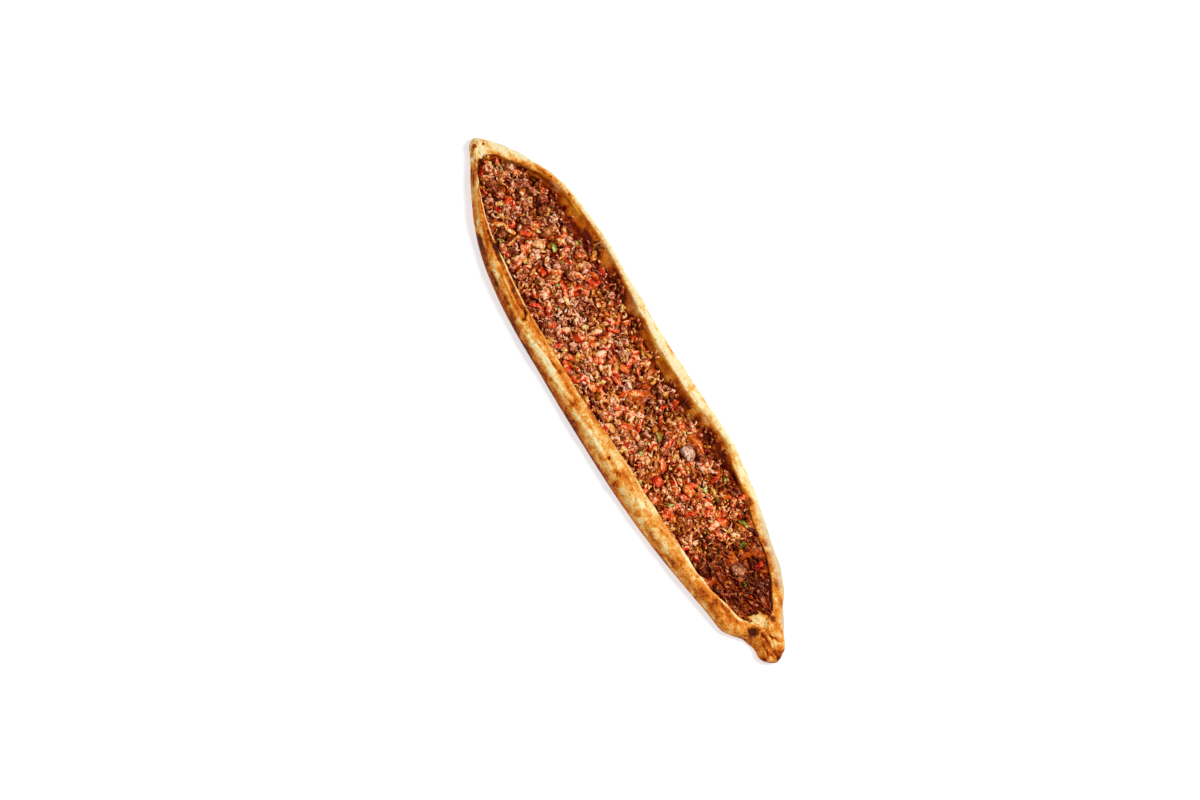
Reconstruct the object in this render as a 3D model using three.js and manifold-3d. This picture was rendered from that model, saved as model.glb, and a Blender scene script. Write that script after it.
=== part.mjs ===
// A long Turkish pide: a boat of baked dough with its sides folded up and its ends pinched shut,
// filled with minced meat, and with larger bits of tomato, pepper and onion lying in the meat.
// Millimetres. X runs along the pide, Y across it, and Z up from the surface it rests on.
import * as THREE from "three";
import { mergeVertices } from "three/addons/utils/BufferGeometryUtils.js";
import Module from "manifold-3d";

const wasm = await Module();
wasm.setup();

// Driving dimensions
const LENGTH = 480;
const BED = 5; // thickness of the dough under the filling
const SETTLED = 1; // how deep the toppings lie in the filling
const FILL = 8.8; // height of the filling's surface, between its crumbs
const RIM = 15.5; // usual height of the folded sides
const SEAM = 0.8; // width and depth of the groove where the sides meet at the ends
const GAP = 0.35; // clearance between touching pieces
const CENTRE_Y = -1.0; // middle of the outline, which goes to Y = 0

// Each curve is [x, size] at the places where it bends, joined smoothly.
const NEAR_EDGE = [
  [-240, -13], [-230, -17], [-203, -32.5], [-171, -47.5], [-140, -55], [-100, -58.5], [-44, -57.6],
  [3, -56], [66, -52], [114, -46], [162, -37], [180, -33], [195, -30.2], [203, -24.5], [210, -17.6],
  [221, -11.3], [230, -11.6], [240, -7],
];
const FAR_EDGE = [
  [-240, -4], [-231, 4.6], [-222, 15], [-203, 27], [-184, 37.5], [-155, 45], [-108, 49.7], [-76, 50],
  [-44, 51], [-13, 52.5], [19, 55.3], [75, 58], [114, 55], [146, 48.5], [177, 41.5], [193, 35.2],
  [206, 26.5], [222, 17.5], [240, 4],
];
const NEAR_RIM_WIDTH = [
  [-240, 3], [-231, 3.5], [-226, 5], [-221, 3.6], [-203, 4.6], [-184, 6.8], [-155, 12], [-123, 13.3],
  [-76, 14], [-44, 14.4], [-13, 14.6], [19, 16.9], [82, 16.8], [130, 13], [162, 11.6], [180, 14.3],
  [193, 16], [203, 18.6], [210, 16.6], [222, 12], [240, 6],
];
const FAR_RIM_WIDTH = [
  [-240, 5], [-231, 17], [-226, 22.5], [-221, 17.5], [-212, 14.2], [-203, 10.5], [-184, 7.8],
  [-155, 4.9], [-108, 4.6], [-44, 9.6], [19, 11.2], [66, 6.4], [90, 11], [130, 12.3], [162, 11.2],
  [180, 12.8], [193, 14.3], [200, 14.1], [204, 14.6], [207, 19], [210, 21.6], [222, 16], [240, 5.5],
];
const FAR_SLOPE_WIDTH = [
  [-240, 1], [-203, 4], [-155, 12.5], [-108, 14], [-44, 9.5], [19, 12], [66, 16], [95, 5], [120, 3], [240, 2],
];
const RIM_HEIGHT = [
  [-240, 9.5], [-222, 11.5], [-190, 14], [-60, RIM], [40, 16.2], [120, RIM], [190, 13.5], [215, 13], [240, 10],
];
// The hollow between the sides, and the lengths over which its bed rises at its ends
const CAVITY = { from: -227, to: 210, leftRun: 11, rightRun: 20 };
const FLAP = { end: -97, step: 2, run: 9 }; // the second fold of the near side stops here
const PLEATS = { from: 205, count: 5, depth: 0.1, twist: 0.11 }; // gathers of the pinched right end
const TIP_ROUND = 7; // length over which both ends round off
// The flat spot that the pide rests on, and how far the rest of its underside is off the surface
const SOLE = [[-140, -48], [135, -37], [135, 44], [-140, 40]];
const LIFT = 0.25;

const BUMPS = { columns: 109, rows: 19, high: 2.3, low: -1.4, shift: 1.1 }; // a grid with a crumb at every fourth point
const MEAT = { count: 28, largest: 5, smallest: 3.4, apart: 22 }; // lumps larger than crumbs, by radius

// [name, x, y, turn in degrees, length, width]: bits big enough to be picked out of the meat
const TOPPINGS = [
  ["tomato_1", -183, -11, 60, 9, 7],
  ["pepper_strip_1", -166, -26, 39, 19, 5],
  ["pepper_strip_2", -153.5, -23.5, -78, 17, 3.4],
  ["tomato_2", -143.5, -21, -25, 9.5, 5.5],
  ["pepper_green_1", -133, 4, -20, 8.5, 4],
  ["tomato_3", -121, -16, 15, 8, 6],
  ["pepper_strip_3", -100, -6, -10, 15, 4.6],
  ["pepper_strip_4", -92, 20, 88, 15, 4.4],
  ["pepper_strip_5", -99, -34, 48, 13, 3.8],
  ["pepper_strip_6", -59, 24, -42, 11, 3.6],
  ["tomato_4", -47, -38, -10, 12, 5.6],
  ["tomato_5", -22, -27, 20, 9, 6.5],
  ["tomato_6", -22, 6, 32, 10, 6],
  ["pepper_strip_7", 1, 6, 59, 18, 4.6],
  ["onion_1", 13.5, -30, 5, 8, 5.4],
  ["pepper_strip_8", 19, -18, 43, 12, 4],
  ["pepper_green_2", 38, 3, -12, 8.5, 4.4],
  ["pepper_strip_9", 59, -7, -25, 13, 5],
  ["pepper_strip_10", 60, 31, 5, 17, 3],
  ["tomato_7", 69, -18, 30, 9, 8],
  ["tomato_8", 87, 2, 10, 11.5, 8],
  ["tomato_9", 121, 13, 35, 9.5, 7],
  ["pepper_green_3", 133, 31, 25, 12, 4],
  ["meat_chunk_1", 61, 18, 0, 12, 10],
  ["meat_chunk_2", 161, 5, 20, 11, 9.5],
];

const CRUST_COLOUR = 0xd69a4c;
const MEAT_COLOUR = 0x8a4326;
const TOPPING_LOOKS = {
  tomato: { color: 0xd8452a, roughness: 0.35 },
  pepper_strip: { color: 0xdd5a2c, roughness: 0.35 },
  pepper_green: { color: 0x6f8a2e, roughness: 0.35 },
  onion: { color: 0xd9b44e, roughness: 0.4 },
  meat_chunk: { color: 0x8f5f4c, roughness: 0.45 },
};

// Numbers between 0 and 1, the same on every run.
function seededRandom(seed) {
  let state = seed;
  return () => {
    state = (state * 1664525 + 1013904223) % 4294967296;
    return state / 4294967296;
  };
}

function smoothStep(t) {
  const s = Math.min(1, Math.max(0, t));
  return s * s * (3 - 2 * s);
}

// The size that a curve of [x, size] has at x: a cubic through the stations.
function at(curve, x) {
  const last = curve.length - 1;
  const slope = (i) => {
    const [a, b] = [curve[Math.max(0, i - 1)], curve[Math.min(last, i + 1)]];
    return (b[1] - a[1]) / (b[0] - a[0]);
  };
  let i = 0;
  while (i < last - 1 && x > curve[i + 1][0]) i += 1;
  const [x0, y0] = curve[i];
  const [x1, y1] = curve[i + 1];
  const h = x1 - x0;
  const t = Math.min(1, Math.max(0, (x - x0) / h));
  return (
    (2 * t ** 3 - 3 * t ** 2 + 1) * y0 +
    (t ** 3 - 2 * t ** 2 + t) * h * slope(i) +
    (3 * t ** 2 - 2 * t ** 3) * y1 +
    (t ** 3 - t ** 2) * h * slope(i + 1)
  );
}

// How much a side rises and falls along its length, as hand-folded dough does.
function lumps(x, side) {
  return 0.7 * Math.sin(x / 21 + side) + 0.5 * Math.sin(x / 9.3 + 2.1 * side);
}

// The sizes of the cross-section at x.
function sizesAt(x) {
  const open =
    smoothStep((x - CAVITY.from) / CAVITY.leftRun) * smoothStep((CAVITY.to - x) / CAVITY.rightRun);
  const near = at(NEAR_EDGE, x);
  const far = at(FAR_EDGE, x);
  const height = at(RIM_HEIGHT, x);
  const rims = at(NEAR_RIM_WIDTH, x) + at(FAR_RIM_WIDTH, x);
  const squeeze = Math.min(1, (far - near - SEAM) / rims); // the sides meet where the hollow ends
  const nearRim = at(NEAR_RIM_WIDTH, x) * squeeze;
  const farRim = at(FAR_RIM_WIDTH, x) * squeeze;
  const slope = Math.min(at(FAR_SLOPE_WIDTH, x), 0.4 * (far - near - nearRim - farRim));
  const nearTop = height + lumps(x, 1);
  const farTop = height - 0.4 + lumps(x, 4);
  const seam = Math.min(nearTop, farTop) - SEAM;
  const bed = seam + (BED - seam) * open;
  const sink = FLAP.step * smoothStep((FLAP.end - x) / FLAP.run) * open;
  return { near, far, nearRim, farRim, slope, nearTop, farTop, bed, sink, open };
}

// The inside of the hollow at x, from under the near lip across the bed and up the far side.
function insideAt(x) {
  const s = sizesAt(x);
  const lip = s.near + s.nearRim;
  const top = s.far - s.farRim;
  const foot = top - s.slope;
  const across = (share) => lip + 3 * s.open + (foot - lip - 3 * s.open) * share;
  const climb = (share, rise) => [foot + s.slope * share, s.bed + (s.farTop - s.bed) * rise];
  return [
    [lip - 0.8 * s.open, s.bed + 1.2 * s.open],
    [across(0), s.bed + 0.1 * s.open],
    [across(0.34), s.bed],
    [across(0.67), s.bed],
    [foot, s.bed + 0.1 * s.open],
    climb(0.4, 0.22),
    climb(0.72, 0.56),
    climb(0.93, 0.86),
  ];
}

// The closed outline of the dough at x, anticlockwise as seen from +X with Y to the right.
function sectionAt(x) {
  const s = sizesAt(x);
  const near = (share, z) => [s.near + s.nearRim * share, z];
  const far = (share, z) => [s.far - s.farRim * share, z];
  const foot = Math.min(6, 0.22 * (s.far - s.near));
  const [H, F] = [s.nearTop, s.farTop];
  const outline = [
    [s.near + foot, LIFT],
    [(s.near + s.far) / 2, LIFT],
    [s.far - foot, LIFT],
    [s.far - 0.25 * foot, 0.09 * F],
    [s.far, 0.34 * F],
    [s.far - 0.04 * s.farRim, 0.62 * F],
    far(0.22, 0.88 * F),
    far(0.55, F),
    far(0.86, 0.97 * F),
    ...insideAt(x).reverse(),
    near(1, 0.7 * H - 0.4 * s.sink),
    near(1.02, 0.86 * H - 0.6 * s.sink),
    near(0.9, 0.93 * H - 0.9 * s.sink),
    near(0.66, 0.96 * H - s.sink),
    near(0.5, H - 0.5 * s.sink),
    near(0.36, 0.99 * H),
    near(0.14, 0.88 * H),
    [s.near + 0.02 * s.nearRim, 0.62 * H],
    [s.near, 0.34 * H],
    [s.near + 0.25 * foot, 0.09 * H],
  ];
  return shapedEnd(outline, x);
}

// Rounds both ends off, and gathers the right one into pleats.
function shapedEnd(outline, x) {
  const beyond = Math.max(0, (Math.abs(x) - (LENGTH / 2 - TIP_ROUND)) / TIP_ROUND);
  const scale = Math.max(0.35, Math.sqrt(Math.max(0, 1 - beyond * beyond)));
  const s = sizesAt(x);
  const middle = [(s.near + s.far) / 2, Math.min(s.nearTop, s.farTop) / 2];
  const gather = PLEATS.depth * smoothStep((x - PLEATS.from) / 12);
  return outline.map(([y, z]) => {
    const [dy, dz] = [y - middle[0], z - middle[1]];
    const turn = Math.atan2(dz, dy);
    const pleat = 1 + gather * Math.cos(PLEATS.count * turn + PLEATS.twist * (x - PLEATS.from));
    const size = scale * (z < 1 ? 1 : pleat); // the underside stays flat
    return [middle[0] + dy * size, Math.max(LIFT, middle[1] + dz * size)];
  });
}

// Stations along the pide, closer together towards the ends.
function stations(count, from, to) {
  return Array.from({ length: count }, (_, i) => {
    const t = (2 * i) / (count - 1) - 1;
    return (from + to) / 2 + ((to - from) / 2) * (0.6 * t + 0.4 * Math.sin((Math.PI / 2) * t));
  });
}

const STATIONS = stations(60, -LENGTH / 2, LENGTH / 2);

// A closed skin over rings of points, each ring joined to the next and both ends capped.
function loft(rings) {
  const size = rings[0].length;
  const middle = (ring) => [0, 1, 2].map((k) => ring.reduce((sum, p) => sum + p[k], 0) / size);
  const points = [...rings.flat(), middle(rings[0]), middle(rings.at(-1))];
  const [first, last] = [points.length - 2, points.length - 1];
  const faces = [];
  rings.forEach((_, i) => {
    for (let j = 0; j < size; j += 1) {
      const k = (j + 1) % size;
      const [a, b] = [i * size + j, i * size + k];
      if (i === 0) faces.push(first, b, a);
      if (i === rings.length - 1) faces.push(last, a, b);
      else faces.push(a, b, b + size, a, b + size, a + size);
    }
  });
  const geometry = new THREE.BufferGeometry();
  geometry.setAttribute("position", new THREE.Float32BufferAttribute(points.flat(), 3));
  geometry.setIndex(faces);
  return geometry;
}

// Between three.js geometry and a solid that can be joined and cut
function solidOf(geometry) {
  const bare = geometry.clone();
  bare.deleteAttribute("normal");
  bare.deleteAttribute("uv");
  const merged = mergeVertices(bare, 1e-4);
  return new wasm.Manifold(
    new wasm.Mesh({
      numProp: 3,
      vertProperties: new Float32Array(merged.attributes.position.array),
      triVerts: new Uint32Array(merged.index.array),
    }),
  );
}

function geometryOf(solid) {
  const mesh = solid.getMesh();
  const geometry = new THREE.BufferGeometry();
  geometry.setAttribute("position", new THREE.Float32BufferAttribute(mesh.vertProperties, 3));
  geometry.setIndex(new THREE.BufferAttribute(new Uint32Array(mesh.triVerts), 1));
  geometry.computeVertexNormals();
  return geometry;
}

function crust() {
  const dough = loft(STATIONS.map((x) => sectionAt(x).map(([y, z]) => [x, y, z])));
  const outline = new THREE.Shape(SOLE.map(([x, y]) => new THREE.Vector2(x, y)));
  const sole = new THREE.ExtrudeGeometry(outline, { depth: BED / 2, bevelEnabled: false });
  return geometryOf(solidOf(dough).add(solidOf(sole)));
}

// The room that the filling may take: the hollow, kept clear of the dough and open above.
function hollow() {
  const open = STATIONS.filter((x) => x > CAVITY.from + 3 && x < CAVITY.to - 3);
  const rings = open.map((x) => {
    const inside = insideAt(x);
    const raised = inside.map(([y, z], i) => {
      const [before, after] = [inside[Math.max(0, i - 1)], inside[Math.min(inside.length - 1, i + 1)]];
      const length = Math.hypot(after[0] - before[0], after[1] - before[1]);
      return [y - (GAP * (after[1] - before[1])) / length, z + (GAP * (after[0] - before[0])) / length];
    });
    const s = sizesAt(x);
    raised[0] = [s.near + s.nearRim * 1.02 + GAP, raised[0][1] + 0.2];
    const [start, end] = [raised[0], raised.at(-1)];
    return [...raised, [end[0], 2 * RIM], [start[0], 2 * RIM]].map(([y, z]) => [x, y, z]);
  });
  return loft(rings);
}

// The filling's surface level at a place: nearly flat, falling away at the far side.
function levelAt(x, y) {
  const s = sizesAt(x);
  const foot = s.far - s.farRim - s.slope;
  const wet = smoothStep((x - 80) / 30); // right of here the filling laps up to the rim
  const edge = foot + s.slope * (0.25 + 0.6 * wet);
  const rise = 2 * wet * smoothStep((CAVITY.to - 20 - x) / 40);
  const lapping = 1.6 * wet * smoothStep((y - (edge - 18)) / 18);
  const level = FILL + rise + lapping + 0.5 * Math.sin(x / 31);
  return level - 4.5 * (1 - wet) * smoothStep((y - (edge - 5)) / 9);
}

function toTopping(x, y, [, tx, ty, turn, length, width]) {
  const angle = (turn * Math.PI) / 180;
  const half = Math.max(0, length - width) / 2;
  const along = Math.cos(angle) * (x - tx) + Math.sin(angle) * (y - ty);
  const side = -Math.sin(angle) * (x - tx) + Math.cos(angle) * (y - ty);
  return Math.hypot(Math.max(0, Math.abs(along) - half), side) - width / 2;
}

// A slab whose top is rough all over with bumps the size of meat crumbs.
function fillingCore(random) {
  const { columns, rows, high, low, shift } = BUMPS;
  const grid = [];
  for (let i = 0; i < columns; i += 1) {
    const x = CAVITY.from + ((CAVITY.to - CAVITY.from) * i) / (columns - 1);
    const s = sizesAt(x);
    const [from, to] = [s.near + s.nearRim - 1, s.far - s.farRim + 0.5];
    for (let j = 0; j < rows; j += 1) {
      const edge = j === 0 || j === rows - 1 || i === 0 || i === columns - 1;
      const wander = () => (edge ? 0 : shift * (random() - 0.5));
      const [px, py] = [x + wander(), from + ((to - from) * j) / (rows - 1) + wander()];
      const crumb = j % 2 === 1 && i % 2 === ((j - 1) / 2) % 2;
      const beside = TOPPINGS.some((topping) => toTopping(px, py, topping) < 1);
      const bump = (crumb ? high : low) * (0.4 + 0.6 * random());
      grid.push([px, py, levelAt(px, py) + (beside ? 0 : bump)]);
    }
  }
  const size = columns * rows;
  const points = [...grid, ...grid.map(([x, y]) => [x, y, 0])];
  const faces = [];
  const quad = (a, b, c, d) => faces.push(a, b, c, a, c, d);
  for (let i = 0; i < columns - 1; i += 1) {
    for (let j = 0; j < rows - 1; j += 1) {
      const a = i * rows + j;
      quad(a, a + rows, a + rows + 1, a + 1);
      quad(size + a, size + a + 1, size + a + rows + 1, size + a + rows);
    }
    const [near, far] = [i * rows, i * rows + rows - 1];
    quad(near, near + size, near + rows + size, near + rows);
    quad(far, far + rows, far + rows + size, far + size);
  }
  for (let j = 0; j < rows - 1; j += 1) {
    const last = (columns - 1) * rows + j;
    quad(j, j + 1, j + 1 + size, j + size);
    quad(last, last + size, last + 1 + size, last + 1);
  }
  const geometry = new THREE.BufferGeometry();
  geometry.setAttribute("position", new THREE.Float32BufferAttribute(points.flat(), 3));
  geometry.setIndex(faces);
  return geometry;
}

// The largest lumps of meat at true size, spread evenly and clear of the toppings.
function lumpsOfMeat(random) {
  const placed = [];
  for (let tries = 0; tries < 9000 && placed.length < MEAT.count; tries += 1) {
    const radius = MEAT.largest - (MEAT.largest - MEAT.smallest) * (placed.length / MEAT.count);
    const x = CAVITY.from + 12 + random() * (CAVITY.to - CAVITY.from - 24);
    const s = sizesAt(x);
    const [from, to] = [s.near + s.nearRim + 0.7 * radius, s.far - s.farRim - 0.8 * s.slope - 0.7 * radius];
    const y = from + random() * (to - from);
    const crowded = placed.some((c) => Math.hypot(c.x - x, c.y - y) < MEAT.apart);
    const blocked = TOPPINGS.some((t) => toTopping(x, y, t) < 1.1 * radius + GAP);
    if (!crowded && !blocked && to > from) placed.push({ x, y, radius });
  }
  return placed.map(({ x, y, radius }) => {
    const lump = new THREE.IcosahedronGeometry(radius, 0);
    lump.scale(1.1, 0.85, 0.75);
    lump.rotateX(random() - 0.5);
    lump.rotateZ(Math.PI * random());
    lump.translate(x, y, levelAt(x, y) + 0.15 * radius);
    return lump;
  });
}

function filling() {
  const random = seededRandom(7);
  const room = solidOf(hollow());
  const core = solidOf(fillingCore(random)).intersect(room);
  const heap = lumpsOfMeat(random).reduce((sum, lump) => sum.add(solidOf(lump)), core).intersect(room);
  const pressed = TOPPINGS.reduce((sum, t) => sum.subtract(solidOf(toppingGeometry(t, GAP))), heap);
  const bodies = pressed.decompose().sort((a, b) => b.volume() - a.volume());
  return geometryOf(bodies[0]);
}

// A six-sided strip or dice, lying in the filling; "extra" makes it larger all round.
function toppingGeometry([name, x, y, turn, length, width], extra) {
  const strip = name.startsWith("pepper");
  const thick = strip ? 0.32 * width + 0.8 : 0.62 * width;
  const bend = (strip ? 0.1 : 0.02) * length;
  const [halfLong, halfWide, halfThick] = [length, width, thick].map((size) => size / 2 + extra);
  const rings = [-1, -0.7, 0, 0.7, 1].map((share) => {
    const taper = Math.sqrt(Math.max(0.2, 1 - 0.85 * share ** 2));
    return Array.from({ length: 6 }, (_, k) => {
      const angle = (Math.PI / 3) * (k + 0.5);
      return [
        halfLong * share,
        bend * (0.5 - share ** 2) + halfWide * taper * Math.cos(angle),
        halfThick * taper * Math.sin(angle),
      ];
    });
  });
  const geometry = loft(rings);
  geometry.rotateZ((turn * Math.PI) / 180);
  geometry.translate(x, y, levelAt(x, y) - SETTLED + thick / 2);
  return geometry;
}

function piece(name, geometry, look) {
  const mesh = new THREE.Mesh(geometry, new THREE.MeshStandardMaterial({ metalness: 0, ...look }));
  mesh.name = name;
  return mesh;
}

const pide = new THREE.Group();
pide.position.y = -CENTRE_Y;
pide.add(piece("crust", crust(), { color: CRUST_COLOUR, roughness: 0.8 }));
pide.add(piece("filling", filling(), { color: MEAT_COLOUR, roughness: 0.4 }));
TOPPINGS.forEach((topping) => {
  const kind = topping[0].replace(/_\d+$/, "");
  pide.add(piece(topping[0], toppingGeometry(topping, 0), TOPPING_LOOKS[kind]));
});

export default pide;
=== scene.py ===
"""The looks of a long Turkish pide: baked dough, crumbly minced meat and bits of vegetable.

Sizes are in millimetres, as in the part's own source, and go to metres where a mesh is made.
"""

import math
from itertools import product
from types import SimpleNamespace

import bmesh
import bpy
import numpy as np
from mathutils import Matrix, Vector


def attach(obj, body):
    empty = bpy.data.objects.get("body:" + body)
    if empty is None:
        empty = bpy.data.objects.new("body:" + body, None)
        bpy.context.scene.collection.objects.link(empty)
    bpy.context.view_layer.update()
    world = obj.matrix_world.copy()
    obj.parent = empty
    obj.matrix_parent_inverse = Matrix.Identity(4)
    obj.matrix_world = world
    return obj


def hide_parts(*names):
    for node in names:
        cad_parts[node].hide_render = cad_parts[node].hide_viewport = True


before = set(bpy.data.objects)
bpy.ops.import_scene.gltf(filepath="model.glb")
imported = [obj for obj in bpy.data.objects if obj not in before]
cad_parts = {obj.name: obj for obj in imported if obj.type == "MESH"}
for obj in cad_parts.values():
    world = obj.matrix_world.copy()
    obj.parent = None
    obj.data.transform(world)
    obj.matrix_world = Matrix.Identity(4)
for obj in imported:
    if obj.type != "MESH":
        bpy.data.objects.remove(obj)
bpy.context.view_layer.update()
scene = bpy.context.scene

# ---- sizes shared with the part

LENGTH = 480
BED = 5
FILL = 8.8
RIM = 15.5
SETTLED = 1
SEAM = 0.8
CENTRE_Y = -1
NEAR_EDGE = {
    -240: -13, -230: -17, -203: -32.5, -171: -47.5, -140: -55, -100: -58.5, -44: -57.6, 3: -56, 66: -52,
    114: -46, 162: -37, 180: -33, 195: -30.2, 203: -24.5, 210: -17.6, 221: -11.3, 230: -11.6, 240: -7,
}
FAR_EDGE = {
    -240: -4, -231: 4.6, -222: 15, -203: 27, -184: 37.5, -155: 45, -108: 49.7, -76: 50, -44: 51,
    -13: 52.5, 19: 55.3, 75: 58, 114: 55, 146: 48.5, 177: 41.5, 193: 35.2, 206: 26.5, 222: 17.5, 240: 4,
}
NEAR_RIM_WIDTH = {
    -240: 3, -231: 3.5, -226: 5, -221: 3.6, -203: 4.6, -184: 6.8, -155: 12, -123: 13.3, -76: 14,
    -44: 14.4, -13: 14.6, 19: 16.9, 82: 16.8, 130: 13, 162: 11.6, 180: 14.3, 193: 16, 203: 18.6,
    210: 16.6, 222: 12, 240: 6,
}
FAR_RIM_WIDTH = {
    -240: 5, -231: 17, -226: 22.5, -221: 17.5, -212: 14.2, -203: 10.5, -184: 7.8, -155: 4.9, -108: 4.6,
    -44: 9.6, 19: 11.2, 66: 6.4, 90: 11, 130: 12.3, 162: 11.2, 180: 12.8, 193: 14.3, 200: 14.1,
    204: 14.6, 207: 19, 210: 21.6, 222: 16, 240: 5.5,
}
FAR_SLOPE_WIDTH = {
    -240: 1, -203: 4, -155: 12.5, -108: 14, -44: 9.5, 19: 12, 66: 16, 95: 5, 120: 3, 240: 2,
}
RIM_HEIGHT = {
    -240: 9.5, -222: 11.5, -190: 14, -60: RIM, 40: 16.2, 120: RIM, 190: 13.5, 215: 13, 240: 10,
}
CAVITY_FROM, CAVITY_TO, LEFT_RUN, RIGHT_RUN = -227, 210, 11, 20
FLAP_END, FLAP_STEP, FLAP_RUN = -97, 2, 9
PLEATS_FROM, PLEAT_COUNT, PLEAT_DEPTH, PLEAT_TWIST = 205, 5, 0.1, 0.11
TIP_ROUND = 7
TOPPINGS = [  # node, x, y, turn in degrees, length, width
    ("tomato_1", -183, -11, 60, 9, 7),
    ("pepper_strip_1", -166, -26, 39, 19, 5),
    ("pepper_strip_2", -153.5, -23.5, -78, 17, 3.4),
    ("tomato_2", -143.5, -21, -25, 9.5, 5.5),
    ("pepper_green_1", -133, 4, -20, 8.5, 4),
    ("tomato_3", -121, -16, 15, 8, 6),
    ("pepper_strip_3", -100, -6, -10, 15, 4.6),
    ("pepper_strip_4", -92, 20, 88, 15, 4.4),
    ("pepper_strip_5", -99, -34, 48, 13, 3.8),
    ("pepper_strip_6", -59, 24, -42, 11, 3.6),
    ("tomato_4", -47, -38, -10, 12, 5.6),
    ("tomato_5", -22, -27, 20, 9, 6.5),
    ("tomato_6", -22, 6, 32, 10, 6),
    ("pepper_strip_7", 1, 6, 59, 18, 4.6),
    ("onion_1", 13.5, -30, 5, 8, 5.4),
    ("pepper_strip_8", 19, -18, 43, 12, 4),
    ("pepper_green_2", 38, 3, -12, 8.5, 4.4),
    ("pepper_strip_9", 59, -7, -25, 13, 5),
    ("pepper_strip_10", 60, 31, 5, 17, 3),
    ("tomato_7", 69, -18, 30, 9, 8),
    ("tomato_8", 87, 2, 10, 11.5, 8),
    ("tomato_9", 121, 13, 35, 9.5, 7),
    ("pepper_green_3", 133, 31, 25, 12, 4),
    ("meat_chunk_1", 61, 18, 0, 12, 10),
    ("meat_chunk_2", 161, 5, 20, 11, 9.5),
]

# ---- the camera's view

ELEVATION = math.radians(62)
ROLL = math.radians(60.62)
AIM = (-10.3, -20.5, 0)
PIXEL = 0.792  # millimetres to a pixel of the 1200-pixel frame
LENS, SENSOR, FRAME_WIDTH = 100, 36, 1200
TO_EYE = np.array((0, -math.cos(ELEVATION), math.sin(ELEVATION)))
PICTURE_UP = np.array((0, math.sin(ELEVATION), math.cos(ELEVATION)))


def smooth(t):
    t = np.clip(t, 0, 1)
    return t * t * (3 - 2 * t)


def band(x, start, rise, end, fall):
    """1 between start and end and 0 beyond them, rising smoothly at first and falling at last."""
    return smooth((x - start) / rise) * smooth((end - x) / fall)


def curve(stations, x):
    """The size at x: a cubic through the stations, which say the size at some x."""
    px, py = np.array(list(stations.items()), float).T
    k = np.arange(len(px))
    before, after = np.maximum(k - 1, 0), np.minimum(k + 1, k[-1])
    slope = (py[after] - py[before]) / (px[after] - px[before])
    i = np.clip(np.searchsorted(px, x) - 1, 0, len(px) - 2)
    h = px[i + 1] - px[i]
    t = np.clip((x - px[i]) / h, 0, 1)
    return (
        (2 * t**3 - 3 * t**2 + 1) * py[i]
        + (t**3 - 2 * t**2 + t) * h * slope[i]
        + (3 * t**2 - 2 * t**3) * py[i + 1]
        + (t**3 - t**2) * h * slope[i + 1]
    )


def on_plane(x, y):
    """Points at x and y, all at one height."""
    return np.stack(np.broadcast_arrays(x, y, 0), -1)


def noise(points, size, seed):
    """Smooth noise from -1 to 1 at points, with lumps of that size."""
    p = points / size + 31.7 * seed
    cell = np.floor(p).astype(np.int64)
    f = p - cell
    f = f * f * (3 - 2 * f)
    total = np.zeros(p.shape[:-1])
    for corner in product((0, 1), repeat=3):
        c = cell + np.array(corner)
        h = (c[..., 0] * 73856093) ^ (c[..., 1] * 19349663) ^ (c[..., 2] * 83492791)
        h = (h ^ (h >> 13)) * 1274126177 & 0xFFFFFFFF
        h = (h ^ (h >> 15)) * 2246822519 & 0xFFFFFFFF
        weight = np.prod(np.where(corner, f, 1 - f), axis=-1)
        total += weight * (((h >> 8) & 0xFFFF) / 32767.5 - 1)
    return total


def lumps(x, side):
    return 0.7 * np.sin(x / 21 + side) + 0.5 * np.sin(x / 9.3 + 2.1 * side)


def sizes(x):
    """The sizes of the cross-section at each x. The far wall slopes down from wall over slope."""
    opened = band(x, CAVITY_FROM, LEFT_RUN, CAVITY_TO, RIGHT_RUN)
    near, far = curve(NEAR_EDGE, x), curve(FAR_EDGE, x)
    height = curve(RIM_HEIGHT, x)
    near_rim, far_rim = curve(NEAR_RIM_WIDTH, x), curve(FAR_RIM_WIDTH, x)
    squeeze = np.minimum(1, (far - near - SEAM) / (near_rim + far_rim))
    near_rim, far_rim = near_rim * squeeze, far_rim * squeeze
    slope = np.minimum(curve(FAR_SLOPE_WIDTH, x), 0.4 * (far - near - near_rim - far_rim))
    near_top = height + lumps(x, 1)
    far_top = height - 0.4 + lumps(x, 4)
    seam = np.minimum(near_top, far_top) - SEAM
    return SimpleNamespace(
        near=near, far=far, near_rim=near_rim, far_rim=far_rim, lip=near + near_rim, slope=slope,
        wall=far - far_rim, near_top=near_top, far_top=far_top, bed=seam + (BED - seam) * opened,
        open=opened, sink=FLAP_STEP * smooth((FLAP_END - x) / FLAP_RUN) * opened,
    )


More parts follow.
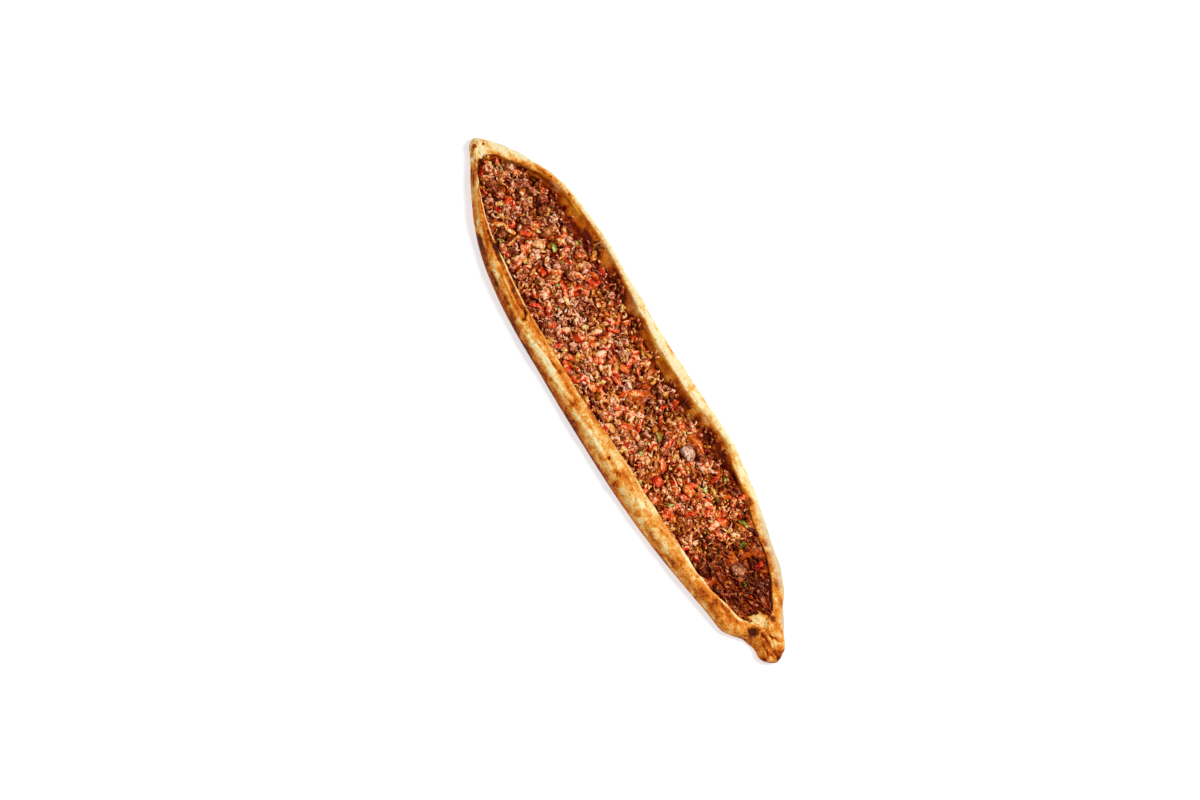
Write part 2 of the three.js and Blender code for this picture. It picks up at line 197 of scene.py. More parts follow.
def outline(x):
    """The dough's outline at each x: an array of stations by 27 points by (y, z)."""
    s = sizes(x)
    near, far, rim, far_rim = s.near, s.far, s.near_rim, s.far_rim
    sink, bed, opened, climb = s.sink, s.bed, s.open, s.slope
    H, F = s.near_top, s.far_top  # the heights of the near and the far side
    foot = np.minimum(6, 0.22 * (far - near))
    lip, base = s.lip, s.wall - climb
    start = lip + 3 * opened
    across = base - start
    points = [
        (near + foot, 0 * H), ((near + far) / 2, 0 * H), (far - foot, 0 * H),
        (far - 0.25 * foot, 0.09 * F), (far, 0.34 * F), (far - 0.04 * far_rim, 0.62 * F),
        (far - 0.22 * far_rim, 0.88 * F), (far - 0.55 * far_rim, F), (far - 0.86 * far_rim, 0.97 * F),
        (base + 0.93 * climb, bed + 0.86 * (F - bed)), (base + 0.72 * climb, bed + 0.56 * (F - bed)),
        (base + 0.4 * climb, bed + 0.22 * (F - bed)), (base, bed + 0.1 * opened),
        (start + 0.67 * across, bed), (start + 0.34 * across, bed), (start, bed + 0.1 * opened),
        (lip - 0.8 * opened, bed + 1.2 * opened),
        (near + rim, 0.7 * H - 0.4 * sink), (near + 1.02 * rim, 0.86 * H - 0.6 * sink),
        (near + 0.9 * rim, 0.93 * H - 0.9 * sink), (near + 0.66 * rim, 0.96 * H - sink),
        (near + 0.5 * rim, H - 0.5 * sink), (near + 0.36 * rim, 0.99 * H),
        (near + 0.14 * rim, 0.88 * H), (near + 0.02 * rim, 0.62 * H), (near, 0.34 * H),
        (near + 0.25 * foot, 0.09 * H),
    ]
    return np.moveaxis(np.array(points), -1, 0), s


def heaped(x):
    """How much the filling is heaped towards the right end, from 0 to 1."""
    return smooth((x - 80) / 30)


def level(x, y):
    """The height of the filling's surface, between its crumbs."""
    s = sizes(x)
    heap = heaped(x)
    edge = s.wall - s.slope * (0.75 - 0.6 * heap)
    rise = 2 * heap * smooth((CAVITY_TO - 20 - x) / 40)
    lapping = 1.6 * heap * smooth((y - (edge - 18)) / 18)
    height = FILL + rise + lapping + 0.5 * np.sin(x / 31)
    return height - 4.5 * (1 - heap) * smooth((y - (edge - 5)) / 9)


def surface(x, y):
    """What crumbs lie on: the filling's surface, or the far wall where that is higher."""
    s = sizes(x)
    base = s.wall - s.slope
    climb = np.interp((y - base) / s.slope, (0, 0.4, 0.72, 0.93, 1), (0.02, 0.22, 0.56, 0.86, 0.97))
    wall = s.bed + climb * (s.far_top - s.bed) + 0.3
    return np.where(y > base, np.maximum(level(x, y), wall), level(x, y))


# ---- meshes and materials


def linear(rgb):
    """A colour given as it looks on a screen, 0 to 255, in the linear form that shaders take."""
    c = np.array(rgb, float) / 255
    return (*np.where(c <= 0.04045, c / 12.92, ((c + 0.055) / 1.055) ** 2.4), 1)


def make_piece(name, points, faces, look, layers, replaces=()):
    """One smooth piece of the pide, from points in millimetres and a look: a slot, which is not used, and a
    material.
    """
    slot, material = look
    moved = (points - (0, CENTRE_Y, 0)) / 1000
    mesh = bpy.data.meshes.new(name)
    mesh.from_pydata(moved, [], faces)
    mesh.polygons.foreach_set("use_smooth", np.ones(len(mesh.polygons), bool))
    for key, values in layers.items():
        layer = mesh.attributes.new(key, "FLOAT", "POINT")
        layer.data.foreach_set("value", np.asarray(values, np.float32))
    mesh.materials.append(material)
    mesh.validate()
    piece = bpy.data.objects.new(name, mesh)
    scene.collection.objects.link(piece)
    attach(piece, "root")
    if replaces:
        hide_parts(*replaces)


def loft_faces(rings, size):
    """Triangles of a closed skin over rings of points, with two middles after them as caps."""
    i, j = np.meshgrid(np.arange(rings - 1), np.arange(size), indexing="ij")
    a, b = (i * size + j).ravel(), (i * size + (j + 1) % size).ravel()
    sides = np.concatenate([np.stack([a, b, b + size], 1), np.stack([a, b + size, a + size], 1)])
    middle = np.full(size, rings * size)
    first = np.stack([middle, b[:size], a[:size]], 1)
    last = np.stack([middle + 1, a[-size:] + size, b[-size:] + size], 1)
    return np.concatenate([sides, first, last])


def with_caps(grid):
    """Rings of points, or of values, as one list, with the middles of the first and last ring added."""
    return np.concatenate([grid.reshape(-1, *grid.shape[2:]), [grid[0].mean(0), grid[-1].mean(0)]])


class Nodes:
    """Short calls for building one material's node tree."""

    def __init__(self, name):
        self.material = bpy.data.materials.new(name)
        self.material.use_nodes = True
        self.tree = self.material.node_tree
        self.coordinates = self.add("TexCoord").outputs["Object"]

    def add(self, kind, inputs=None, **settings):
        node = self.tree.nodes.new("ShaderNode" + kind)
        for key, value in settings.items():
            setattr(node, key, value)
        self.feed(node, inputs or {})
        return node

    def feed(self, node, inputs):
        for key, value in inputs.items():
            if isinstance(value, bpy.types.NodeSocket):
                self.tree.links.new(value, node.inputs[key])
            else:
                node.inputs[key].default_value = value

    def math(self, operation, *values, **settings):
        return self.add("Math", dict(enumerate(values)), operation=operation, **settings).outputs[0]

    def attribute(self, name):
        return self.add("Attribute", attribute_name=name).outputs["Fac"]

    def noise(self, size, detail=3, roughness=0.55, distortion=0, squeeze=(1, 1, 1)):
        """Noise from 0 to 1 whose lumps are size millimetres wide, and longer where squeezed less."""
        vector = self.add("VectorMath", {0: self.coordinates, 1: squeeze}, operation="MULTIPLY").outputs[0]
        return self.add("TexNoise", {
            "Vector": vector, "Scale": 1000 / size, "Detail": detail, "Roughness": roughness,
            "Distortion": distortion,
        }).outputs["Fac"]

    def sum(self, *terms):
        """The sum of terms, each a socket, a number or (socket, factor)."""
        total = 0
        for term in terms:
            socket, factor = term if isinstance(term, tuple) else (term, 1)
            total = self.math("MULTIPLY_ADD", socket, factor, total)
        return total

    def ramp(self, value, stops):
        """A colour for a value, from stops that give a place's screen colour."""
        node = self.add("ValToRGB", {"Fac": value})
        elements = node.color_ramp.elements
        while len(elements) < len(stops):
            elements.new(0.5)
        for element, (place, rgb) in zip(elements, stops.items()):
            element.position = place
            element.color = linear(rgb)
        return node.outputs["Color"]

    def lines(self, value, half_width):
        """1 where the value passes 0.5, falling to 0 at half_width to either side."""
        away = self.math("ABSOLUTE", self.sum(value, -0.5))
        return self.math("MULTIPLY_ADD", away, -1 / half_width, 1, use_clamp=True)

    def mix(self, factor, a, b, blend="MIX"):
        inputs = {0: factor, 6: a, 7: b}
        return self.add("Mix", inputs, data_type="RGBA", blend_type=blend).outputs[2]

    def bump(self, height, distance, strength, **normal):
        """A normal for relief of a height from 0 to 1 that is distance millimetres deep."""
        inputs = {"Height": height, "Distance": distance / 1000, "Strength": strength, **normal}
        return self.add("Bump", inputs).outputs["Normal"]

    def finish(self, colour, roughness, **inputs):
        """Sets the shader and gives the material back. In a name, _ stands for a space."""
        named = {key.replace("_", " "): value for key, value in inputs.items()}
        shader = self.tree.nodes["Principled BSDF"]
        self.feed(shader, {"Base Color": colour, "Roughness": roughness, **named})
        return self.material


WARM = (1, 0.8, 0.6, 1)  # the tint of the shine on baked dough
JUICY = (1, 0.6, 0.35, 1)  # and on food in its juices


def dough_material():
    n = Nodes("baked_dough")
    brown, oil = n.attribute("brown"), n.attribute("oil")
    char, flour = n.attribute("char"), n.attribute("flour")
    mottle, fine = n.noise(4, 5, 0.75, squeeze=(0.7, 1, 1)), n.noise(1.6, 3, 0.65)
    tone = n.sum(brown, (mottle, 0.9), (fine, 0.8), -0.85)
    baked = n.ramp(tone, {
        0: (246, 230, 182), 0.18: (242, 206, 134), 0.4: (230, 156, 66), 0.6: (208, 110, 20),
        0.8: (156, 62, 6), 1: (84, 28, 6),
    })
    streaks = n.noise(4, 4, 0.7, 1.2)
    stained = n.ramp(n.sum(brown, (streaks, 0.8), (fine, 0.4), -0.6), {
        0: (238, 164, 48), 0.3: (214, 126, 20), 0.55: (186, 90, 6), 0.8: (146, 46, 0), 1: (98, 22, 0),
    })
    stained = n.mix(n.sum((n.attribute("red"), 0.8)), stained, linear((190, 70, 40)), "MULTIPLY")
    colour = n.mix(oil, baked, stained)
    floury = n.sum((flour, 1), (n.noise(3, 3), 0.9), -0.6)
    colour = n.mix(floury, colour, linear((206, 186, 150)))
    scorch = n.sum((char, 1.25), (fine, 0.8), -0.4)
    colour = n.mix(scorch, colour, linear((70, 26, 14)))
    pores = n.bump(fine, 0.45, 0.8)
    return n.finish(
        colour, n.sum(0.7, (oil, -0.34)), Normal=n.bump(n.noise(4.5, 3), 0.5, 0.5, Normal=pores),
        Specular_IOR_Level=0.12, Specular_Tint=WARM,
    )


def morsel_material(name, plain, soaked, grain_size, contrast, sway=0.06, squeeze=(1, 1, 1)):
    """Cooked food with thin pale curls, which are painted highlights over a little relief, in plain tones
    where dry and other tones where soaked.
    """
    n = Nodes(name)
    grain = n.noise(grain_size, 3, 0.55, squeeze=squeeze)
    # Thin pale lines: painted highlights, also raised a little in the bump
    curls_and_painted_glints = n.lines(n.noise(3.2, 2, 0.5, 0.8, squeeze), 0.075)
    tone = n.sum(n.attribute("tone"), (grain, contrast), (curls_and_painted_glints, 0.42), -0.5 * contrast - 0.1)
    soak = n.sum(n.attribute("soak"), (n.noise(3.4, 2), 1.6), -0.8)
    colour = n.mix(soak, n.ramp(tone, plain), n.ramp(tone, soaked))
    inputs = {"Hue": n.sum((n.noise(2.9, 2), sway), 0.499 - sway / 2), "Color": colour}
    colour = n.add("HueSaturation", inputs).outputs["Color"]
    relief = n.sum(grain, (curls_and_painted_glints, 0.5))
    return n.finish(
        colour, n.sum(0.16, (grain, 0.3)), Normal=n.bump(relief, 0.6, 0.8),
        Specular_IOR_Level=0.2, Specular_Tint=JUICY,
    )


def juice_material():
    n = Nodes("meat_juice")
    grain = n.noise(2.2, 4, 0.65)
    colour = n.ramp(n.sum(n.attribute("tone"), (grain, 1.1), -0.6), JUICE)
    return n.finish(
        colour, 0.2, Normal=n.bump(grain, 0.4, 0.6), Specular_IOR_Level=0.2, Specular_Tint=JUICY,
    )


# Screen colours for tones from 0 to 1
DRY_MEAT = {
    0: (60, 6, 0), 0.2: (98, 26, 2), 0.4: (140, 56, 22), 0.6: (182, 94, 52), 0.8: (232, 150, 106),
    1: (255, 220, 186),
}
SOAKED_MEAT = {
    0: (66, 6, 0), 0.2: (110, 28, 0), 0.4: (160, 62, 0), 0.6: (206, 98, 10), 0.8: (242, 152, 56),
    1: (255, 214, 140),
}
JUICE = {
    0: (84, 12, 0), 0.25: (130, 34, 0), 0.5: (180, 72, 2), 0.75: (222, 122, 16), 1: (248, 180, 66),
}
ORANGE_SKIN = {
    0: (112, 24, 0), 0.25: (170, 60, 0), 0.5: (212, 100, 6), 0.7: (236, 144, 42), 0.85: (250, 192, 106),
    1: (255, 230, 176),
}
RED_SKIN = {
    0: (110, 6, 0), 0.25: (178, 24, 0), 0.5: (222, 54, 4), 0.7: (240, 96, 34), 0.85: (252, 162, 104),
    1: (255, 218, 176),
}
GREEN_SKIN = {
    0: (28, 32, 0), 0.35: (62, 78, 4), 0.6: (108, 126, 18), 0.8: (164, 170, 66), 1: (228, 224, 160),
}
OLIVE_SKIN = {
    0: (44, 30, 0), 0.35: (98, 78, 4), 0.6: (152, 128, 28), 0.8: (204, 174, 78), 1: (240, 220, 150),
}
PALE_SKIN = {
    0: (112, 48, 0), 0.25: (168, 88, 6), 0.5: (210, 132, 32), 0.7: (234, 172, 74),
    0.85: (246, 204, 120), 1: (252, 230, 170),
}
PINK_MEAT = {0: (84, 28, 10), 0.3: (142, 78, 50), 0.6: (196, 134, 102), 1: (250, 218, 192)}

# Kinds of topping: slot, then the material's name, plain and soaked colours, grain and contrast
KINDS = {
    "tomato": ("tomato", "cooked_tomato", RED_SKIN, ORANGE_SKIN, 2.8, 1),
    "pepper_strip": ("red_pepper", "cooked_red_pepper", RED_SKIN, ORANGE_SKIN, 2.4, 1),
    "pepper_green": ("green_pepper", "cooked_green_pepper", GREEN_SKIN, OLIVE_SKIN, 2.4, 0.9),
    "onion": ("onion", "cooked_onion", PALE_SKIN, ORANGE_SKIN, 2.4, 0.9),
    "meat_chunk": ("meat", "pink_meat", PINK_MEAT, SOAKED_MEAT, 1.8, 1.2),
}
LOOKS = {kind: (slot, morsel_material(*settings)) for kind, (slot, *settings) in KINDS.items()}

# ---- the dough

# How many steps the skin takes between each two points of the outline
PROFILE_STEPS = [3, 3, 2, 4, 4, 5, 6, 6, 5, 6, 6, 4, 3, 3, 3, 2, 4, 5, 5, 7, 6, 6, 6, 5, 4, 3, 2]
STATIONS = 800

# Places round the outline, counted in its points
SEAL_FROM, SEAL_TO, SEAL_DEPTH = 8.5, 17.6, 0.5  # the pinched seam, and how deep it is
BED_FROM, BED_TO = 11.8, 16.2
OILED_FROM, NEAR_FROM, OILED_TO = 8.5, 16.5, 16.9
CREASE, SECOND_FOLD, FLOUR_FROM = 19, 20.7, 3.9

NEAR_BAKED = 0.06  # how much browner the near side is than its stretches say
LEFT_TIP_BROWN, RIGHT_TIP_BROWN, BARE_BROWN = 0.06, 0.59, 0.2

# Browning round the outline, in stretches along each side: the x where a stretch is at its
# fullest, then how brown it is, in hundredths, at places counted in the outline's points
FAR_BROWN = {
    -215: {  # pale nearly to the filling
        0: 50, 3: 55, 4: 45, 5: 20, 6: 6, 6.6: 10, 7: 24, 7.4: 40, 8: 52, 8.5: 60, 9: 66, 10.4: 66,
        11: 80, 16: 90,
    },
    -190: {  # toasted nearly to its outer edge
        0: 50, 3: 55, 4: 45, 5: 25, 6: 10, 6.5: 14, 7: 36, 7.5: 52, 8: 60, 9: 50, 10.4: 44, 11: 60,
        12: 72, 16: 80,
    },
    -150: {  # toasted on its inner half
        0: 50, 3: 55, 4: 42, 5: 25, 6: 8, 7: 4, 7.5: 8, 8: 18, 8.5: 28, 9: 32, 9.6: 38, 10: 46,
        10.5: 56, 11: 76, 12: 95, 16: 90,
    },
    -20: {  # pale all over its top
        0: 50, 3: 55, 4: 42, 5: 30, 6: 22, 7: 12, 7.5: 3, 8.2: 0, 8.6: 0, 9: 7, 9.6: 28, 10: 40,
        10.5: 50, 11: 66, 12: 95, 16: 90,
    },
    90: {  # pale, with a golden inner edge
        0: 50, 3: 55, 4: 40, 5: 22, 6: 14, 7: 5, 7.4: 12, 7.8: 28, 8.4: 38, 8.7: 38, 9: 40, 9.3: 52,
        10: 78, 16: 90,
    },
    175: {  # golden brown, and floury outside
        0: 50, 3: 55, 4: 35, 5: 20, 6: 22, 6.6: 30, 7.2: 46, 7.6: 60, 8: 62, 8.4: 60, 8.8: 60, 9.2: 70,
        9.8: 86, 16: 90,
    },
    206: {  # golden nearly to its outer edge
        0: 50, 3: 55, 4: 30, 5: 16, 5.6: 30, 6.2: 46, 7: 50, 8: 52, 8.8: 60, 9.2: 70, 10: 90, 16: 90,
    },
}
# On the near side the dark just under the lip, where the dough meets the filling, is painted shade; the
# thin pale lip line is a painted highlight, and the pale tops of the rolls are partly painted highlight
NEAR_BROWN = {
    -127: {  # one flat fold, orange brown under its thin pale lip
        16.5: 100, 17.5: 60, 18.1: 24, 18.5: 6, 18.8: 34, 19.1: 76, 19.5: 84, 19.8: 66, 20.15: 52,
        20.65: 54, 21.15: 62, 21.65: 60, 22.05: 62, 22.3: 64, 22.55: 56, 22.8: 42, 23.05: 40, 23.3: 48,
        23.6: 60, 24: 70, 25.2: 74, 27: 50,
    },
    -60: {  # rolled, with a brown valley behind its pale ridge
        16.5: 90, 17.5: 70, 18.1: 52, 18.7: 40, 19.1: 46, 19.6: 60, 20.2: 54, 20.8: 46, 21.5: 34,
        22: 22, 22.3: 8, 22.7: 10, 23.1: 30, 23.6: 50, 24.2: 68, 25: 84, 26: 80, 27: 50,
    },
    -28: {  # browner on its top, and pale lower down
        16.5: 90, 17.5: 76, 18.1: 66, 18.7: 56, 19.1: 60, 19.6: 62, 20.2: 52, 20.8: 42, 21.5: 28,
        22: 18, 22.3: 6, 22.7: 2, 23.1: 10, 23.6: 34, 24.2: 62, 25: 90, 26: 84, 27: 50,
    },
    38: {  # wide, pale on top and golden below its one crease
        16.5: 80, 17.5: 40, 18.2: 28, 19: 32, 19.5: 32, 20.3: 24, 21: 27, 21.6: 35, 22: 38, 22.4: 38,
        22.8: 35, 23.2: 33, 23.6: 40, 24.3: 58, 25: 74, 26: 74, 27: 50,
    },
    67: {  # pale again below the crease
        16.5: 80, 17.5: 34, 18.2: 22, 19: 26, 19.5: 27, 20.3: 26, 21: 35, 21.6: 42, 22: 36, 22.4: 24,
        22.8: 17, 23.2: 17, 23.6: 28, 24.3: 54, 25: 74, 26: 74, 27: 50,
    },
    98: {  # evenly golden
        16.5: 85, 17.5: 46, 18.2: 28, 18.75: 22, 19.2: 27, 20: 36, 21: 38, 21.8: 41, 22.5: 45, 23.2: 44,
        23.6: 37, 24.3: 32, 25: 48, 26: 60, 27: 50,
    },
    190: {  # orange under its thin lip, and golden below
        16.5: 100, 17.5: 85, 18.3: 50, 18.75: 10, 19: 24, 19.4: 64, 20: 64, 20.6: 57, 21.2: 53,
        22: 47, 22.6: 50, 23.2: 54, 23.8: 44, 24.4: 47, 25: 62, 26: 66, 27: 50,
    },
}

# Marks: x, height up the picture, radius, relief, brown and any char. Those of no relief are stains.
MARKS = [
    (208, -2.6, 4, -3.6, 0.4, 0.95),
    (207.5, 16.2, 2.2, -0.6, 0.5, 0.45),
    (-156, -29.6, 2.6, -0.3, 0.5, 0.9),
    (-151.5, -30.4, 2.4, -0.3, 0.3, 0.6),
    (-147, -36, 3.6, 0.2, -0.22),
    (32.5, -34, 1.5, -0.8, 0.45, 0.1),
    (54, -40.4, 3.4, 0.7, 0.4),
    (30, -39.6, 4.5, 0.4, 0.25),
    (83, -37.5, 3.4, 0.2, 0.3),
    (-17, -37.8, 4, -0.5, 0.3),
    (-20, -41, 3, -0.3, 0.2),
    (44.5, -34.6, 2.4, -0.1, 0.25),
    (49, -34.6, 2.4, -0.1, 0.25),
    (43, -43.5, 3, 0.2, 0.2),
    (-116.5, -45, 2, -0.2, 0.3),
    (-111, -45.4, 1.7, -0.2, 0.3),
    (-236, -3.2, 2.2, 0.2, 0.3),
    (-234.4, -5.9, 2.2, 0.1, 0.7, 0.2),
    (-234, -10.5, 2.6, 0.05, 0.45, 0.1),
    (-230, -13, 2.6, 0.05, 0.4, 0.08),
    (-232, 0.8, 0.9, -0.8, 0.8, 0.5),
    (-164, 40.2, 1.2, -0.3, 0.4, 0.1),
    (-183.5, 35, 1, -0.2, 0.3, 0.1),
    (17, 49.6, 3, 0.2, 0.3),
    (119, 46.4, 3.4, 0.2, 0.35),
    (153, 41.2, 3.4, 0.2, 0.35),
    (187.5, 33.8, 3.4, 0.3, 0.3),
    (180, 38, 2, 0.3, 0.3),
    (238.5, 5, 2.2, 0.1, 0.3, 0.04),
    (233, -7.6, 2.2, -0.2, 0.25, 0.02),
    # A pale spot on the right tip: a painted highlight
    (235.5, -1.8, 2.3, 0.2, -0.32),
    (228, 6, 4, 0.9, -0.25),
    (214, 6.5, 3, 0.8, -0.1),
]
WALL_MARKS = [
    (58.6, 39, 7, 0, 0.34, 0.06),
    (76, 37.4, 6, 0, 0.28),
    (26, 37.2, 6, 0, 0.2),
    (8, 36.8, 5, 0, 0.16),
    (-22, 37.2, 4, 0, 0.24, 0.05),
    (-47, 37.6, 5, 0, 0.24),
    (-80, 38, 6.5, 0, 0.24, 0.04),
    (-94, 38, 6, 0, 0.12),
    (-116, 36, 6, 0, 0.12),
]

# Folds and ridges: width, relief, brown, char, then places (x, height up the picture) along them. The
# browning and char of the creases are painted shade, and the ridges are mostly made paler, a painted
# highlight.
FOLDS = [
    (1.2, -1.1, 0.4, 0, (214, 5.5), (219, 6.6), (222, 8.9), (226, 10.4)),
    (1.1, -0.9, 0.25, 0, (213, 1.6), (219, 3), (226, 2.6), (231, 2.4)),
    (1.2, -0.8, 0.3, 0, (222, -2), (228, -1.6), (233, -3.4)),
    (1.2, 0.4, -0.24, 0, (-203, 19), (-191, 28.5), (-179, 33.3), (-163, 38), (-147, 39.6)),
    (1.3, -0.4, 0.25, 0, (-203, 16.4), (-190, 26.2), (-177, 31)),
    (2.2, 1.3, -0.16, 0, (202, -1), (205.5, 2.2), (211, 2.4), (214, -1.5), (212.5, -6), (207, -8.6)),
    (1.3, 0.4, -0.45, 0, (-227.3, -4.8), (-218.6, -10.7), (-213.8, -14.3), (-209, -18.2), (-203, -22)),
    (1.1, 0.3, 0.1, 0, (-227, -7.4), (-220, -12.2), (-212, -17.4)),
    (1, -0.8, 0.35, 0, (-227.3, -9.2), (-221.8, -13.6), (-214, -18.6), (-206, -23)),
    (1.2, -1.6, 0.5, 0.5, (-100.5, -36.2), (-97.4, -36.8), (-94.4, -38.8), (-94.8, -41)),
    (1.4, 0.5, -0.2, 0, (-101, -34.4), (-96, -35), (-91.6, -38), (-92, -42)),
    (1.7, 0.6, -0.3, 0, (-180, -34), (-171, -36), (-160, -38.6)),
    (1.7, 0.5, -0.3, 0, (-141, -41), (-131, -42.6), (-121, -45.6)),
    (1.1, -0.5, 0.2, 0, (-170, -30.6), (-150, -34.4), (-126, -36.6), (-104, -37.6)),
    (1.1, -0.4, 0.2, 0, (-140, -37), (-118, -40.4), (-100, -41.4)),
    (1.8, -0.5, 0.2, 0, (-92, -44.4), (-76, -41.2), (-60, -37.8), (-44, -35.8)),
    (1.8, 0.5, -0.12, 0, (-82, -43.4), (-64, -39.8), (-48, -38.4)),
    (1.8, -0.5, 0.25, 0, (-44, -44.4), (-27, -41.4), (-13, -38.8), (7, -35.8)),
    (1.6, 0.4, -0.2, 0, (-12, -41.6), (8, -38.6), (28, -37), (40, -37.6)),
]


def ring_weights():
    """How each point of the fine skin follows the outline's points, as a smooth closed curve."""
    place = np.concatenate([i + np.arange(steps) / steps for i, steps in enumerate(PROFILE_STEPS)])
    start = place.astype(int)
    t = place - start
    weights = np.zeros((len(place), len(PROFILE_STEPS)))
    cubic = (
        -0.5 * t + t**2 - 0.5 * t**3, 1 - 2.5 * t**2 + 1.5 * t**3,
        0.5 * t + 2 * t**2 - 1.5 * t**3, -0.5 * t**2 + 0.5 * t**3,
    )
    for offset, weight in zip((-1, 0, 1, 2), cubic):
        weights[np.arange(len(place)), (start + offset) % len(PROFILE_STEPS)] = weight
    return weights, place


def shaped_ends(x, y, z, s):
    """Rounds both ends off, and gathers the right one into pleats."""
    beyond = np.clip((np.abs(x) - (LENGTH / 2 - TIP_ROUND)) / TIP_ROUND, 0, 1)
    scale = np.maximum(0.2, np.sqrt(1 - beyond**2))[:, None]
    y0 = ((s.near + s.far) / 2)[:, None]
    z0 = (np.minimum(s.near_top, s.far_top) / 2)[:, None]
    dy, dz = y - y0, z - z0
    turn = np.arctan2(dz, dy)
    gather = PLEAT_DEPTH * smooth((x - PLEATS_FROM) / 12)[:, None]
    twist = PLEAT_TWIST * (x - PLEATS_FROM)[:, None]
    pleat = 1 + gather * np.cos(PLEAT_COUNT * turn + twist)
    pleat = np.where(z < 1, 1, pleat)
    return y0 + dy * scale * pleat, np.maximum(0, z0 + dz * scale * pleat)


def skin_normals(grid):
    along = np.gradient(grid, axis=0)
    around = np.roll(grid, -1, 1) - np.roll(grid, 1, 1)
    normal = np.cross(around, along)
    return normal / np.maximum(np.linalg.norm(normal, axis=-1, keepdims=True), 1e-9)


def seen_point(grid, x, up):
    """The place on the skin that shows at x and at that height up the picture."""
    miss = np.hypot(grid[..., 0] - x, grid @ PICTURE_UP - up)
    score = np.where(miss < 1.2, grid @ TO_EYE, -1000 - miss)
    return grid[np.unravel_index(np.argmax(score), score.shape)]


def fold_share(grid, places, width):
    """How near the skin is to a line that shows there: 1 on the line and 0 at that width."""
    seen = np.stack([grid[..., 0], grid @ PICTURE_UP], -1)
    miss = np.inf
    for start, end in zip(np.array(places[:-1], float), np.array(places[1:], float)):
        along = end - start
        share = np.clip((seen - start) @ along / (along @ along), 0, 1)
        miss = np.minimum(miss, np.linalg.norm(seen - start - share[..., None] * along, axis=-1))
    return smooth(1 - miss / width)


def stretches(profiles, x, place):
    """The browning at each station and place, blended from one stretch's profile to the next."""
    middles = np.array(list(profiles), float)
    rows = np.array([np.interp(place, list(row), list(row.values())) for row in profiles.values()]) / 100
    i = np.clip(np.searchsorted(middles, x) - 1, 0, len(middles) - 2)
    share = smooth((x - middles[i]) / (middles[i + 1] - middles[i]))[:, None]
    return rows[i] * (1 - share) + rows[i + 1] * share


def seal(grid, place, closed):
    """Draws the skin together over the seam, where the dough is closed."""
    inside = (place >= SEAL_FROM) & (place <= SEAL_TO)
    share = (place[inside] - SEAL_FROM) / (SEAL_TO - SEAL_FROM)
    skin = grid[:, inside]
    bridge = skin[:, :1] + (skin[:, -1:] - skin[:, :1]) * share[:, None]
    bridge[..., 2] -= SEAL_DEPTH * np.sin(np.pi * share)
    grid[:, inside] += (bridge - skin) * smooth((closed - 0.8) / 0.2)[..., None]


def wrinkles(grid):
    """Small relief, drawn out along the pide."""
    drawn = grid * (0.3, 1, 1)
    small = 0.32 * noise(drawn, 4.5, 2) + 0.2 * noise(grid * (0.7, 1, 1), 2.6, 3)
    crinkle = 0.6 * (0.5 - np.abs(noise(drawn, 5.4, 13)))
    blister = np.clip(noise(grid, 6.5, 4) - 0.55, 0, 1) * 1.6
    return small + crinkle + blister


def folds_of_the_near_side(grid, x, place, sink):
    """The step of the left end's second fold, and the long crease further right."""
    step = smooth(1 - np.abs(place - SECOND_FOLD) / 0.9) * sink[:, None] / FLAP_STEP
    crease = smooth(1 - np.abs(place - CREASE) / 0.8)
    creased = band(x, -90, 15, 30, 30)[:, None]
    return step * (0.35 + 0.55 * noise(grid, 5, 5)) - 0.6 * crease * creased


def browning(grid, x, z, place, small, closed):
    """How brown the dough is, but for its marks, folds and bare end."""
    near = stretches(NEAR_BROWN, x, place) + NEAR_BAKED
    brown = np.where(place < NEAR_FROM, stretches(FAR_BROWN, x, place), near)
    wall = band(place, 9, 0.6, 12.5, 0.6)
    drips = noise(grid * (1, 0.3, 0.3), 8, 14) + 0.8 * noise(grid, 5, 15)
    brown += 0.42 * wall * drips
    tip_brown = np.where(x < 0, LEFT_TIP_BROWN, RIGHT_TIP_BROWN + 0.14 * smooth((x - 222) / 14))
    brown += 0.75 * closed * smooth(z / 4) * (tip_brown[:, None] - brown)
    brown += 0.14 * noise(grid * (0.6, 1, 1), 10, 6) + 0.14 * noise(grid * (0.3, 1, 1), 5, 7)
    # Small bumps are painted paler and small hollows darker: painted highlight and painted shade
    brown += 0.14 * noise(grid, 2.8, 16) - 0.36 * small
    return brown + smooth((1.2 - z) / 1.2) * (0.15 + 0.3 * noise(grid, 14, 9))


def charring(grid, z):
    """Specks on the dough, and patches underneath it."""
    specks = 1.1 * np.clip(noise(grid, 4, 8) - 0.66, 0, 1) * (z > 1)
    return specks + smooth((1.2 - z) / 1.2) * np.clip(noise(grid, 9, 10) - 0.35, 0, 1)


def bare_end(x, y):
    """Where the cavity's right end shows bare dough, from 0 to 1."""
    return band(x, 195, 4, 214, 5)[:, None] * band(y, -7, 3, 8, 3)


def floury(x, place):
    """Flour on the outer face of the far side, towards the right end."""
    reach = (2 - 0.8 * smooth((x - 180) / 20))[:, None]
    across = smooth(1.3 - np.abs(place - FLOUR_FROM - reach) / reach)
    return band(x, 100, 50, 240, 20)[:, None] * across


def add_marks(grid, looks):
    """Adds the marks to the relief, the browning and the charring."""
    fine_edge, coarse_edge = 0.25 * noise(grid, 2.5, 12), 0.4 * noise(grid, 5, 18)
    for x, up, radius, *change in MARKS + WALL_MARKS:
        miss = np.linalg.norm(grid - seen_point(grid, x, up), axis=-1)
        stain = change[0] == 0
        share = 1.5 - miss * (1 + fine_edge + coarse_edge * stain) / radius
        looks[:len(change)] += np.multiply.outer(change, smooth(share * (1 + 0.7 * stain)))


def add_folds(grid, normal, looks):
    """Adds the folds to the relief, and their painted shade and painted highlight to the browning and the
    charring, where they face the viewer.
    """
    facing = smooth(4 * normal @ TO_EYE)
    for width, rise, brown, char, *places in FOLDS:
        looks += np.multiply.outer((rise, brown, char), fold_share(grid, places, width) * facing)


